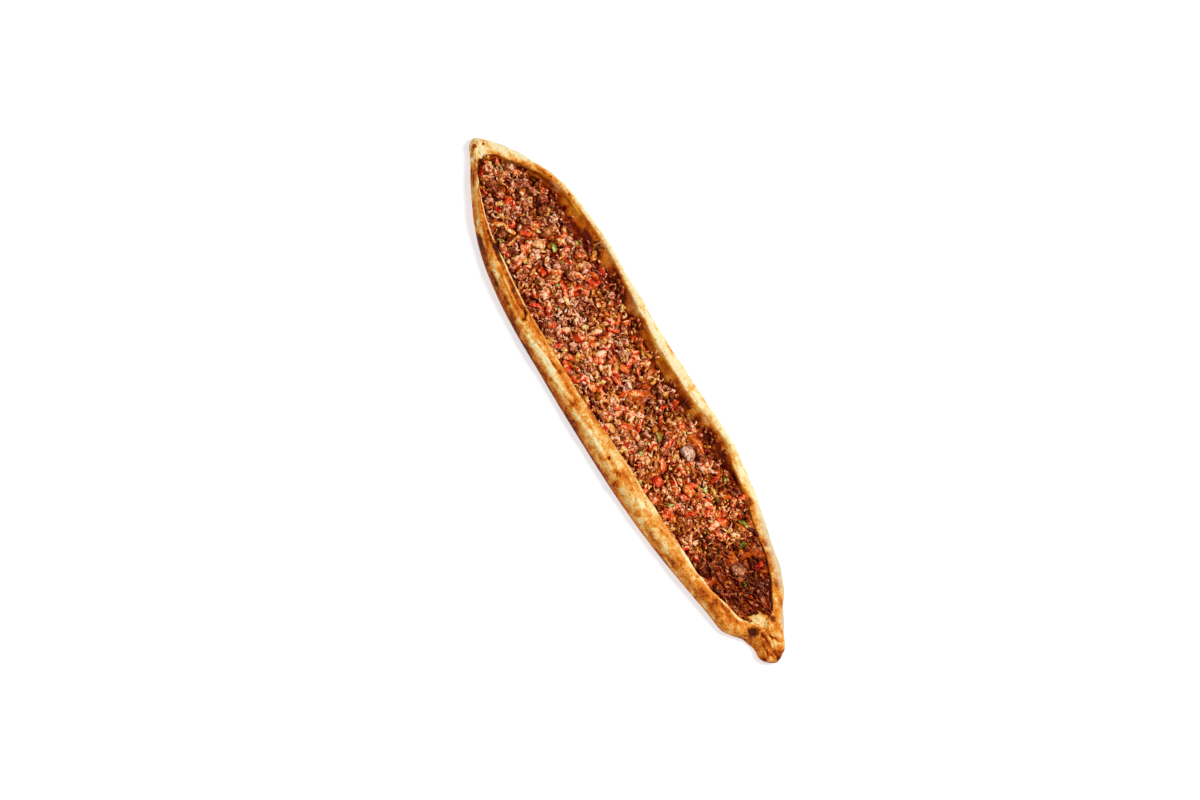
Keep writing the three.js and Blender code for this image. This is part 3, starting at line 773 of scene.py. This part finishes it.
def dough():
    t = np.linspace(-1, 1, STATIONS)
    x = LENGTH / 2 * (0.75 * t + 0.25 * np.sin(np.pi / 2 * t))
    points, s = outline(x)
    weights, place = ring_weights()
    y, z = np.moveaxis(np.einsum("jk,ikc->ijc", weights, points), -1, 0)
    y, z = shaped_ends(x, y, np.maximum(z, 0), s)
    grid = np.stack(np.broadcast_arrays(x[:, None], y, z), -1)
    opened = s.open[:, None]
    seal(grid, place, 1 - opened)
    normal = skin_normals(grid)

    upper = smooth((z - 0.6) / 4)
    uneven = upper * np.where((place > BED_FROM) & (place < BED_TO), 0.3, 1)
    small = wrinkles(grid) * uneven
    relief = 0.55 * noise(grid, 17, 1) * uneven + small + folds_of_the_near_side(grid, x, place, s.sink)
    oiled = band(place, OILED_FROM, 0.5, OILED_TO, 0.1)
    bare = bare_end(x, y)
    oil = oiled * opened * np.clip(0.85 + 0.5 * noise(grid, 9, 11), 0, 1) * (1 - bare)
    brown = browning(grid, x, z, place, small, 1 - opened)
    brown = np.where(oiled > 0.5, brown + bare * (BARE_BROWN - brown), brown)
    looks = np.stack([relief, brown, charring(grid, z)])
    add_marks(grid, looks)
    add_folds(grid, normal, looks)
    relief, brown, char = looks

    red = np.clip(0.1 + 1.5 * noise(grid * (1, 0.4, 0.4), 10, 17), 0, 1)
    grid = grid + normal * relief[..., None]
    grid[..., 1] += 1.4 * smooth((-224 - x) / 8)[:, None] * np.clip(normal[..., 1], 0, 1) * upper
    grid[..., 2] = np.maximum(grid[..., 2], 0)
    layers = {"brown": brown, "char": char, "oil": oil, "flour": floury(x, place), "red": red}
    layers = {key: with_caps(values) for key, values in layers.items()}
    look = ("crust", dough_material())
    make_piece("baked_dough", with_caps(grid), loft_faces(*z.shape), look, layers, ["crust"])


# ---- the filling

random = np.random.default_rng(5)  # the same draws, in the same order, on each run

DRY_END = 132  # right of here the meat is darker and wetter, in long shreds
SMEAR_AT = 151  # the x of the smear of sauce


def shredded(x):
    """How far a place is into the shreds, from 0 to 1."""
    return smooth((x - DRY_END) / 18)


def off_the_bare_end(x, y, start=195, near=-7, far=9):
    """Which places are clear of the bare dough at the cavity's right end."""
    return (x < start) | (y > far) | (y < near)


def smear(x, y):
    """The band of sauce that crosses the filling where the shreds begin, from 0 to 1."""
    flat = on_plane(x, y)
    middle = SMEAR_AT + 0.12 * (20 - y) + 3 * noise(flat, 16, 45)
    return smooth(1.5 - np.abs(x - middle) / 4) * smooth(0.75 + 1.2 * noise(flat, 9, 46))


def wetness(x, y):
    """How much of the juices shows at a place, from 0 to 1."""
    patches = smooth(0.15 + 1.5 * noise(on_plane(x, y), 15, 40))
    middle = band(x, -60, 60, 160, 25)
    return np.maximum(patches * (0.3 + 0.7 * middle), smear(x, y))


def cavity_span(x, margin):
    """The filling's near and far limits at x."""
    s = sizes(x)
    heap = heaped(x)
    uneven = 0.24 * noise(on_plane(x, 0), 13, 43) * (1 - heap)
    bare = 0.2 * band(x, -175, 20, -80, 20)
    return s.lip + margin, s.wall - s.slope * (0.72 + bare - 0.57 * heap - uneven) - margin


def sauce_bed():
    """The bed of meat and juices that shows between the crumbs."""
    x = np.linspace(CAVITY_FROM + 3.5, CAVITY_TO - 3.5, 420)
    s = sizes(x)
    near = (s.lip - 0.2)[:, None]
    far = (s.wall - 0.06 * s.slope)[:, None]
    y = near + (far - near) * np.linspace(0, 1, 64)
    far_limit = cavity_span(x, 0)[1][:, None]
    x = np.broadcast_to(x[:, None], y.shape)
    flat = on_plane(x, y)
    wet = wetness(x, y)
    end = smooth((x - 193) / 6) * band(y, -8, 3, 9, 4)
    rough = 0.7 * noise(flat, 4.2, 20) + 0.4 * noise(flat, 2.2, 21)
    top = np.stack([x, y, level(x, y) - 0.7 + 1.2 * wet + rough - 3 * end], -1)
    below = top[:, ::-9][:, :7].copy()
    below[..., 2] = (s.bed - 0.5)[:, None]
    grid = np.concatenate([top, below], 1)
    tone = 0.32 + 0.16 * noise(grid, 11, 22) + 0.2 * noise(grid, 3.4, 23)
    # Painted shade at the foot of the far wall, taken off the tone below
    foot = smooth((y - far_limit + 9) / 7) * band(x, -170, 20, 140, 40)
    tone[:, : y.shape[1]] += 0.26 * wet - 0.03 * shredded(x) - 0.34 * foot
    tone = np.append(tone.ravel(), [0.4, 0.4])
    faces = loft_faces(*grid.shape[:2])[:, ::-1]
    look = ("meat", juice_material())
    make_piece("meat_juice_bed", with_caps(grid), faces, look, {"tone": tone}, ["filling"])


def shade(x, y):
    """How much darker the filling is, in tone: painted shade towards the far side, and darker meat to the
    right.
    """
    end = shredded(x)
    # The painted shade near the far wall, less among the shreds
    back = 0.14 + 0.08 * smooth((x - 50) / 40) - 0.14 * end
    near_the_wall = smooth((y - cavity_span(x, 0)[1] + 14) / 11)
    return back * near_the_wall + 0.08 * end + 0.04 * smooth((x + 20) / 60)


def scatter(spacing, margin, keep=1):
    """Places spread over the filling at about that spacing, no two alike."""
    columns = np.arange(CAVITY_FROM + 6, CAVITY_TO - 4, spacing)
    rows = np.arange(-60, 60, spacing * 0.87)
    gx, gy = np.meshgrid(columns, rows, indexing="ij")
    gx = gx + 0.5 * spacing * (np.arange(len(rows)) % 2)
    x, y = (np.ravel(g + random.uniform(-0.42, 0.42, g.shape) * spacing) for g in (gx, gy))
    near, far = cavity_span(x, margin)
    chosen = (y > near) & (y < far) & (random.random(x.shape) < keep)
    return x[chosen], y[chosen]


def off_toppings(x, y, clear):
    """Which places are clear of the toppings."""
    free = np.ones(x.shape, bool)
    for _, tx, ty, turn, length, width in TOPPINGS:
        angle = math.radians(turn)
        along = math.cos(angle) * (x - tx) + math.sin(angle) * (y - ty)
        side = math.cos(angle) * (y - ty) - math.sin(angle) * (x - tx)
        reach = np.maximum(0, np.abs(along) - (length - width) / 2)
        free &= np.hypot(reach, side) - width / 2 > clear
    return free


def ball(subdivisions):
    form = bmesh.new()
    bmesh.ops.create_icosphere(form, subdivisions=subdivisions, radius=1)
    points = np.array([v.co for v in form.verts])
    faces = np.array([[v.index for v in f.verts] for f in form.faces])
    form.free()
    return points, faces


def pill(rings, around):
    """A blunt pill along X."""
    tilt = np.linspace(0, np.pi, rings + 2)[1:-1, None]
    turn = np.linspace(0, 2 * np.pi, around, endpoint=False)
    wide = np.sin(tilt) ** 0.6
    rounds = np.stack([-np.cos(tilt) + 0 * turn, wide * np.cos(turn), wide * np.sin(turn)], -1)
    return np.concatenate([rounds.reshape(-1, 3), [(-1, 0, 0), (1, 0, 0)]]), loft_faces(rings, around)


def turns_about(axis, angle):
    """Turns about X, Y or Z (0, 1 or 2), one for each angle, as a 3 by 3 by count array."""
    a, b = (axis + 1) % 3, (axis + 2) % 3
    turns = np.zeros((3, 3, len(angle)))
    turns[axis, axis] = 1
    turns[a, a] = turns[b, b] = np.cos(angle)
    turns[b, a] = np.sin(angle)
    turns[a, b] = -turns[b, a]
    return turns


def rotations(count, tumble, spin):
    """Random turns about Z between the two spins, tipped by up to tumble radians."""
    turn = random.uniform(*spin, count)
    tip, roll = random.uniform(-tumble, tumble, (2, count))
    return np.einsum("abn,bcn,cdn->nad", turns_about(2, turn), turns_about(1, tip), turns_about(0, roll))


PAINTED_LIGHT_FROM = np.array((-0.15, 0.3, 0.94))  # the way that the painted highlight on each lump faces


def curled(shape, facing, bend):
    """Bodies along X bent round in their own plane, and the way their skin faces."""
    angle = bend * shape[..., 0]
    cos, sin = np.cos(angle), np.sin(angle)
    away = 1 / bend - shape[..., 1]
    shape = np.stack([away * sin, 1 / bend - away * cos, shape[..., 2]], -1)
    along, across, up = np.moveaxis(facing, -1, 0)
    facing = np.stack([along * cos - across * sin, along * sin + across * cos, up], -1)
    return shape, facing


def crumbs(name, look, body, form, spots, tone, soak, tumble, rough, curl,
           spin=(-np.pi, np.pi), painted_shine=0.38):
    """One piece made of many uneven bodies, curled up, with a painted highlight along the crest of each,
    their tops painted lighter and their lower parts darker.
    """
    points, faces = body
    count = len(spots)
    x, y = spots[:, :2].T
    raw = points * form[:, None] + random.uniform(0, 500, (count, 1, 3))
    swell = 0.5 - 2 * np.abs(noise(raw, 2.3, 30)) + 0.5 * noise(raw, 0.9, 31)
    shape = points * (1 + rough * swell[..., None]) * form[:, None]
    facing = points / form[:, None]
    facing /= np.linalg.norm(facing, axis=-1, keepdims=True)
    bend = random.uniform(0.1, curl, (count, 1)) * random.choice((-1, 1), (count, 1)) / form[:, :1]
    shape, facing = curled(shape, facing, bend)
    turns = rotations(count, tumble, spin)
    placed = np.einsum("nab,nvb->nva", turns, shape) + spots[:, None]
    # How much each point of a lump faces one fixed way, and a painted highlight where it faces that way
    # most
    towards_painted_light = np.einsum("nab,nvb->nva", turns, facing) @ PAINTED_LIGHT_FROM
    painted_highlight = smooth((towards_painted_light + 0.2 * swell - 0.66) / 0.3) * random.uniform(0.2, 1.3, (count, 1))
    painted_highlight *= 1 - 0.5 * shredded(x)[:, None]
    every = (faces + (np.arange(count) * len(points))[:, None, None]).reshape(-1, 3)
    above = np.clip((placed[..., 2] - surface(x, y)[:, None]) / 1.5, -1.2, 1.5)
    # Clumps of lighter and darker meat, darkened by shade(): painted shade near the far wall, and darker
    # meat to the right
    clumps_and_shade = 0.16 * noise(on_plane(x, y), 11, 44) - shade(x, y)
    # Painted light and painted shade: tops lighter and lower parts darker, bulges lighter than dips, and
    # the painted highlight along each crest
    tones = (tone + clumps_and_shade)[:, None] + 0.16 * above + 0.28 * swell + painted_shine * painted_highlight - 0.14
    # Lower parts are more soaked, and the painted highlight is less soaked, which makes it paler
    soaks = soak[:, None] - 0.25 * above - 0.2 * painted_highlight
    make_piece(name, placed.reshape(-1, 3), every, look, {"tone": tones.ravel(), "soak": soaks.ravel()})


def soaking(x, y):
    """How soaked the lumps at these places are, in patches and from lump to lump."""
    patches = 1 + 1.4 * noise(on_plane(x, y), 13, 41)
    patches += 0.15 * band(x, -40, 80, DRY_END, 20)
    return np.clip(patches + random.normal(0, 0.35, len(x)), -0.1, 1.3)


def forms(x, size, shape, spread):
    """Half the length, width and height of one body for each x: a size times a varied shape."""
    return random.uniform(*size, (len(x), 1)) * shape * random.uniform(*spread, (len(x), 3))


def resting(x, y, height):
    """Spots at a height above what lies under them."""
    return np.stack([x, y, surface(x, y) + height], -1)


def meat_lumps(look):
    """The larger lumps. Gives back where they lie."""
    x, y = scatter(9.2, 3.4, 0.85)
    free = off_toppings(x, y, 3.2) & (x < DRY_END + 20)
    x, y = x[free], y[free]
    form = forms(x, (2.6, 4.3), (1.25, 0.9, 0.65), (0.8, 1.2))
    form *= 1 + 0.25 * smooth((-80 - x) / 40)[:, None]
    crumbs(
        "meat_lumps", look, ball(3), form, resting(x, y, 0.25 * form[:, 2]),
        tone=random.normal(0.3, 0.1, len(x)), soak=soaking(x, y) - 0.3, tumble=0.6, rough=0.3, curl=0.3,
    )
    return x, y


def meat_crumbs(look, lump_x, lump_y):
    """The small crumbs that fill most of the heap, between the lumps."""
    x, y = scatter(4.9, 1.6, 0.97)
    off_lumps = np.min(np.hypot(x[:, None] - lump_x, y[:, None] - lump_y), 1) > 3.2
    dry = random.random(len(x)) > 0.5 * wetness(x, y) + 0.75 * shredded(x)
    free = off_toppings(x, y, 1.7) & off_lumps & dry & (smear(x, y) < 0.6)
    free &= off_the_bare_end(x, y, 197, -6, 7)
    x, y = x[free], y[free]
    form = forms(x, (1.3, 2.4), 1, ((1.15, 0.9, 0.7), (2.2, 1.15, 0.9)))
    crumbs(
        "meat_crumbs", look, pill(9, 9), form, resting(x, y, random.uniform(-0.4, 1, len(x))),
        tone=random.normal(0.31, 0.12, len(x)), soak=soaking(x, y), tumble=0.6, rough=0.36, curl=1.2,
    )


def meat_on_the_wall(look):
    """Scraps that stick to the bare wall on the far side, most of them on its stains."""
    x, y = scatter(3.4, -9)
    s = sizes(x)
    stained = np.any([np.abs(x - at) / radius < 0.9 for at, _, radius, *_ in WALL_MARKS], 0)
    top = s.wall - (0.42 - 0.2 * stained) * s.slope
    stuck = (y > cavity_span(x, 1)[1]) & (y < top) & (s.slope > 7)
    stuck &= random.random(len(x)) < 0.2 + 0.6 * stained
    x, y = x[stuck], y[stuck]
    form = forms(x, (0.8, 1.5), 1, ((1.2, 0.9, 0.5), (2.8, 1.2, 0.7)))
    crumbs(
        "meat_on_the_wall", look, pill(7, 8), form, resting(x, y, 0.9),
        tone=random.normal(0.38, 0.1, len(x)), soak=random.uniform(0.3, 1.2, len(x)),
        tumble=0.3, rough=0.3, curl=1.1, painted_shine=0.2,
    )


def meat_strands(look):
    """Thin curls that lie on the crumbs."""
    x, y = scatter(5.8, 2.2, 0.85)
    free = off_toppings(x, y, 3) & (x < DRY_END + 10)
    x, y = x[free], y[free]
    form = forms(x, (0.65, 0.95), 1, ((3, 1, 0.9), (5.6, 1.2, 1.1)))
    crumbs(
        "meat_strands", look, pill(9, 6), form, resting(x, y, random.uniform(0.9, 1.9, len(x))),
        tone=random.normal(0.44, 0.13, len(x)), soak=soaking(x, y) - 0.2, tumble=0.35, rough=0.25, curl=1.6,
    )


def meat_shreds():
    """The long dark shreds of the right end, which lie mostly along the pide."""
    look = ("meat", morsel_material("meat_in_shreds", DRY_MEAT, SOAKED_MEAT, 2, 0.75, 0.1, (0.35, 1, 1)))
    x, y = scatter(5.6, 2.6, 0.9)
    free = off_toppings(x, y, 1) & (x > DRY_END) & off_the_bare_end(x, y) & (smear(x, y) < 0.4)
    x, y = x[free], y[free]
    form = random.uniform(0.7, 1.3, (len(x), 3)) * (5.2, 1.5, 1.1)
    spots = np.stack([x, y, level(x, y) + random.uniform(-0.2, 0.6, len(x))], -1)
    crumbs(
        "meat_shreds", look, pill(13, 9), form, spots,
        tone=random.normal(0.28, 0.06, len(x)), soak=0.5 * soaking(x, y),
        tumble=0.2, rough=0.3, curl=0.5, spin=(0, 0.9), painted_shine=0.1,
    )


def meat():
    look = ("meat", morsel_material("minced_meat", DRY_MEAT, SOAKED_MEAT, 3.2, 0.95, 0.12))
    meat_crumbs(look, *meat_lumps(look))
    meat_on_the_wall(look)
    meat_strands(look)
    meat_shreds()


# Bits: piece, kind, spacing, share kept, sizes, form, tone, more soak, x and y among the shreds
BITS = [
    ("red_bits", "pepper_strip", 6.8, 0.46, (1.9, 4.2), (1.5, 0.75, 0.5), 0.42, 0, (184.5, 167), (4.5, 24)),
    ("green_bits", "pepper_green", 16, 0.4, (1.6, 3.2), (1.4, 0.7, 0.45), 0.36, 0.4, (173.5,), (5,)),
    ("onion_bits", "onion", 9.4, 0.42, (1.6, 3.4), (1.3, 0.8, 0.5), 0.36, 0, (), ()),
]


def bits():
    """Small bits of vegetable and herb that lie among the crumbs."""
    for name, kind, spacing, keep, size, shape, mean_tone, more_soak, *among_shreds in BITS:
        x, y = scatter(spacing, 1.5, keep)
        free = off_toppings(x, y, 1.8)
        free &= random.random(len(x)) > 0.96 * smooth((x - DRY_END + 10) / 20)
        free &= (x < 75) | (y < cavity_span(x, 8)[1]) | (random.random(len(x)) < 0.3)
        free &= off_the_bare_end(x, y, 185) & (random.random(len(x)) > 0.5 * smooth((-130 - x) / 40))
        x, y = np.append((x[free], y[free]), among_shreds, 1)
        form = forms(x, size, shape, (0.75, 1.3))
        crumbs(
            name, LOOKS[kind], pill(8, 9), form, resting(x, y, random.uniform(0.4, 1.4, len(x))),
            tone=random.normal(mean_tone, 0.08, len(x)), soak=random.uniform(-0.2, 1, len(x)) + more_soak,
            tumble=0.4, rough=0.3, curl=0.8,
        )


# How soaked some toppings are; the others' soaking is drawn at random
SOAKED = {
    "pepper_strip_1": 1, "pepper_strip_2": 0.8, "pepper_strip_5": -0.4, "tomato_4": -0.2,
    "pepper_green_1": -0.3, "pepper_green_2": 0.9, "pepper_green_3": 0.9, "meat_chunk_1": -0.4,
}


def boxy(wave):
    """A sine or cosine drawn out, so that what goes round by it is squarer than a circle."""
    return np.sign(wave) * np.abs(wave) ** 0.75


def topping(name, x, y, turn, length, width):
    """A strip or dice of vegetable or a chunk of meat, bent and uneven, where its node lies."""
    kind = name.rsplit("_", 1)[0]
    strip = name.startswith("pepper")
    thick = 0.32 * width + 0.8 if strip else 0.62 * width
    bend = (0.1 if strip else 0.02) * length
    share = np.linspace(-1, 1, 26)[:, None]
    angle = np.linspace(0, 2 * np.pi, 20, endpoint=False)
    taper = np.sqrt(np.maximum(0.004, 1 - np.abs(share) ** 3.2))
    across = width / 2 * taper * boxy(np.cos(angle))
    rise = thick / 2 * taper * boxy(np.sin(angle)) + 0.1 * width * strip * np.cos(angle) ** 2
    along = np.broadcast_to(length / 2 * share, across.shape)
    grid = np.stack([along, bend * (0.5 - share**2) + across, rise], -1)
    seed = random.integers(1000)
    uneven = 0.2 * noise(grid, 0.4 * length, seed) + 0.15 * noise(grid, 2.2, seed + 1)
    if kind == "meat_chunk":
        uneven += 0.45 * (0.45 - np.abs(noise(grid, 3, seed + 3)))
    turned = grid * (1 + uneven[..., None]) @ turns_about(2, np.radians([turn]))[..., 0].T
    points = with_caps(turned + (x, y, level(x, y) - SETTLED + thick / 2))

    # A painted highlight along the upper side of the piece, added to its tone below
    painted_highlight = smooth((np.sin(angle - 0.4) - 0.7) / 0.25) * smooth(1.6 - 1.6 * np.abs(share))
    painted_highlight *= 0.6 + uneven
    tone = random.normal(0.48, 0.05) + 0.2 * noise(points, 3.4, seed + 2) - 0.2 * shredded(x)
    tone += 0.3 * np.append(painted_highlight.ravel(), [0, 0])
    soak = SOAKED.get(name, random.uniform(-0.1, 0.6))
    layers = {"tone": tone, "soak": np.full(len(tone), soak)}
    label = name.replace("meat_chunk", "chunk_of_meat").replace("_strip", "_sliver") + "_dressed"
    make_piece(label, points, loft_faces(*across.shape), LOOKS[kind], layers, [name])


# ---- floor, light and camera

FLOOR_LIFT = 2e-5  # metres by which the floor clears the plane of the pide's underside


def area_light(name, place, size, power, colour):
    """A soft square light that shines on the pide from place, in metres."""
    lamp = bpy.data.lights.new(name, "AREA")
    lamp.size, lamp.energy, lamp.color = size, power, colour
    light = bpy.data.objects.new(name, lamp)
    light.location = place
    light.rotation_mode = "QUATERNION"
    light.rotation_quaternion = (-Vector(place)).to_track_quat("-Z", "Y")
    scene.collection.objects.link(light)


def studio():
    bpy.ops.mesh.primitive_plane_add(size=20, location=(0, 0, FLOOR_LIFT))
    floor = bpy.context.object
    floor.name = "floor"
    n = Nodes("white_floor")
    paper = n.ramp(n.noise(400, 2), {0: (166, 166, 166), 1: (170, 170, 170)})
    material = n.finish(paper, 0.9, Emission_Color=(1, 1, 1, 1), Emission_Strength=0.66)
    floor.data.materials.append(material)
    scene.world = bpy.data.worlds.new("studio")
    scene.world.use_nodes = True
    sky = scene.world.node_tree.nodes["Background"].inputs
    sky["Color"].default_value = (1, 1, 1, 1)
    sky["Strength"].default_value = 0.34
    area_light("key", (0.35, 0.75, 1.9), 0.6, 38, (1, 0.98, 0.95))
    area_light("front", (0, -1.2, 0.4), 0.8, 2.2, (1, 0.96, 0.92))
    scene.view_settings.view_transform = "Standard"
    scene.view_settings.look = "None"


def camera():
    data = bpy.data.cameras.new("camera")
    data.lens, data.sensor_width = LENS, SENSOR
    data.clip_end = 100
    eye = bpy.data.objects.new("camera", data)
    scene.collection.objects.link(eye)
    back, up, along = Vector(TO_EYE), Vector(PICTURE_UP), Vector((1, 0, 0))
    right = math.cos(ROLL) * along + math.sin(ROLL) * up
    top = math.cos(ROLL) * up - math.sin(ROLL) * along
    distance = FRAME_WIDTH * PIXEL / 1000 * LENS / SENSOR
    place = Vector(AIM) / 1000 + back * distance
    turn = Matrix((right, top, back)).transposed().to_4x4()
    eye.matrix_world = Matrix.Translation(place) @ turn
    scene.camera = eye


camera()
studio()
dough()
sauce_bed()
meat()
bits()
for entry in TOPPINGS:
    topping(*entry)
